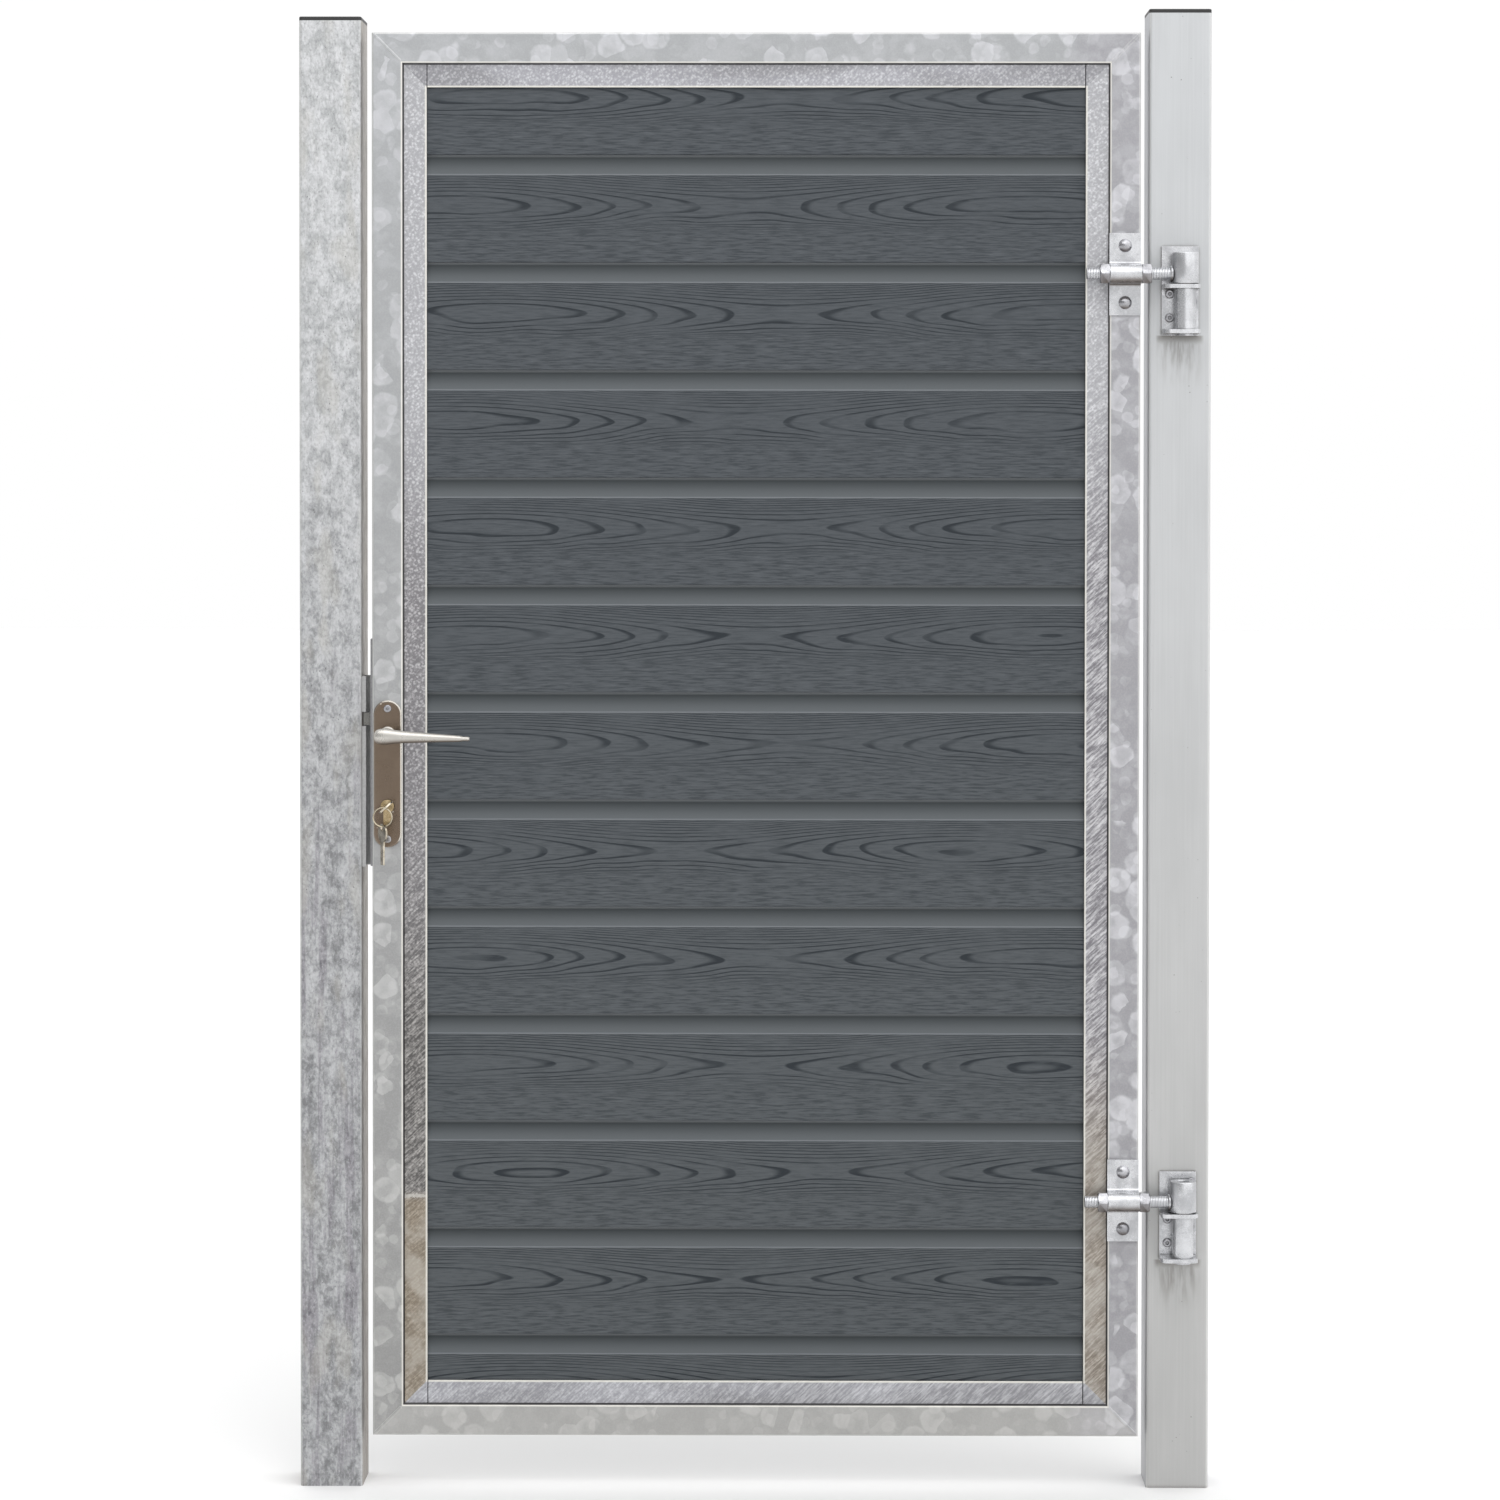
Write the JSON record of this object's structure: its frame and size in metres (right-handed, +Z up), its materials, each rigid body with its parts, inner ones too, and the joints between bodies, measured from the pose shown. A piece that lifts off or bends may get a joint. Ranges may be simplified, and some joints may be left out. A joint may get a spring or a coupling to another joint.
{
  "type": "garden gate",
  "caption": "Garden gate leaf with a galvanised tube frame, grooved composite boards, adjustable pin hinges and a lever lock, hung between square posts.",
  "frame": {"origin": "ground level, midway between the posts, in the plane of the posts' front faces", "axes": "+Z up, +X to the right towards the hinge post as seen from the side the leaf opens to, +Y away from that side"},
  "size_m": [1.168, 0.1518, 1.899],
  "materials": {
    "post_zinc_mottled": "rough mottled hot-dip galvanising",
    "post_zinc_smooth": "smooth satin hot-dip galvanising with fine specks",
    "frame_zinc": "hot-dip galvanising with a soft leafy spangle",
    "channel_zinc": "bright galvanised sheet with a fine crystal and drawn streaks",
    "hinge_zinc": "satin zinc plate",
    "fastener_zinc": "bright zinc plate",
    "lock_steel": "dark burnished steel",
    "bolt_steel": "satin nickel plate",
    "escutcheon_metal": "polished bronze-brown metal",
    "lever_aluminium": "satin anodised",
    "cylinder_brass": "satin brass",
    "key_nickel": "worn nickel plate over brass",
    "spring_steel": "plain steel",
    "cap_plastic": "black moulded plastic",
    "board_composite": "anthracite composite with an embossed wood grain"
  },
  "bodies": {
    "posts": {"latch_post": "post_zinc_mottled", "hinge_post": "post_zinc_smooth", "latch_post_cap": "cap_plastic", "hinge_post_cap": "cap_plastic", "keep_plate": "lock_steel", "keep_screws": "fastener_zinc", "upper_post_bracket": "hinge_zinc", "lower_post_bracket": "hinge_zinc", "hinge_pins": "hinge_zinc", "post_bracket_screws": "fastener_zinc"},
    "leaf": {"latch_stile": "frame_zinc", "hinge_stile": "frame_zinc", "top_rail": "frame_zinc", "bottom_rail": "frame_zinc", "latch_side_channel": "channel_zinc", "hinge_side_channel": "channel_zinc", "top_channel": "channel_zinc", "bottom_channel": "channel_zinc", "channel_rivets": "fastener_zinc", "board_01": "board_composite", "board_02": "board_composite", "board_03": "board_composite", "board_04": "board_composite", "board_05": "board_composite", "board_06": "board_composite", "board_07": "board_composite", "board_08": "board_composite", "board_09": "board_composite", "board_10": "board_composite", "board_11": "board_composite", "board_12": "board_composite", "board_13": "board_composite", "upper_saddle": "hinge_zinc", "lower_saddle": "hinge_zinc", "upper_eye_bolt": "hinge_zinc", "lower_eye_bolt": "hinge_zinc", "adjusting_nuts": "fastener_zinc", "carriage_bolts": "fastener_zinc", "carriage_nuts": "fastener_zinc", "lock_case": "lock_steel", "lock_cover": "lock_steel", "lock_faceplate": "lock_steel", "faceplate_screws": "fastener_zinc", "front_escutcheon": "escutcheon_metal", "rear_escutcheon": "escutcheon_metal", "escutcheon_screws": "fastener_zinc", "cylinder_body": "cylinder_brass", "cylinder_screw": "fastener_zinc", "latch_spring": "spring_steel"},
    "levers": {"front_lever": "lever_aluminium", "rear_lever": "lever_aluminium", "lever_spindle": "spring_steel", "lever_set_screws": "spring_steel", "lock_follower": "lock_steel"},
    "latch": {"latch_bolt": "bolt_steel"},
    "dead_bolt": {"dead_bolt": "bolt_steel"},
    "key": {"cylinder_plug": "cylinder_brass", "lock_key": "key_nickel"},
    "key_ring": {"key_ring": "spring_steel"},
    "spare_key": {"spare_key": "key_nickel"}
  },
  "joints": [
    {"name": "leaf_hinge", "type": "hinge", "parent": "posts", "child": "leaf", "pos_m": [0.549, -0.024, 0], "axis": [0, 0, 1], "range_deg": [0, 170]},
    {"name": "lever_turn", "type": "hinge", "parent": "leaf", "child": "levers", "pos_m": [-0.47, 0.011, 0.97], "axis": [0, 1, 0], "range_deg": [0, 40], "stiffness_Nm_per_rad": 1.2, "springref_deg": -14.32},
    {"name": "latch_slide", "type": "slide", "parent": "leaf", "child": "latch", "axis": [1, 0, 0], "range_m": [0, 0.0095], "deforming": ["latch_spring"]},
    {"name": "key_turn", "type": "hinge", "parent": "leaf", "child": "key", "pos_m": [-0.47, 0.011, 0.878], "axis": [0, -1, 0], "range_deg": [0, 360]},
    {"name": "dead_bolt_slide", "type": "slide", "parent": "leaf", "child": "dead_bolt", "axis": [-1, 0, 0], "range_m": [0, 0.02]},
    {"name": "ring_swing", "type": "hinge", "parent": "key", "child": "key_ring", "pos_m": [-0.47082, -0.038, 0.87726], "axis": [1, 0, 0], "range_deg": [-25, 8]},
    {"name": "spare_key_swing", "type": "hinge", "parent": "key_ring", "child": "spare_key", "pos_m": [-0.47392, -0.038, 0.85367], "axis": [1, 0, 0], "range_deg": [-25, 8]}
  ],
  "couplings": [
    {"joint": "latch_slide", "follows": "lever_turn", "m_per_rad": 0.0136},
    {"joint": "dead_bolt_slide", "follows": "key_turn", "m_per_rad": 0.00318}
  ]
}
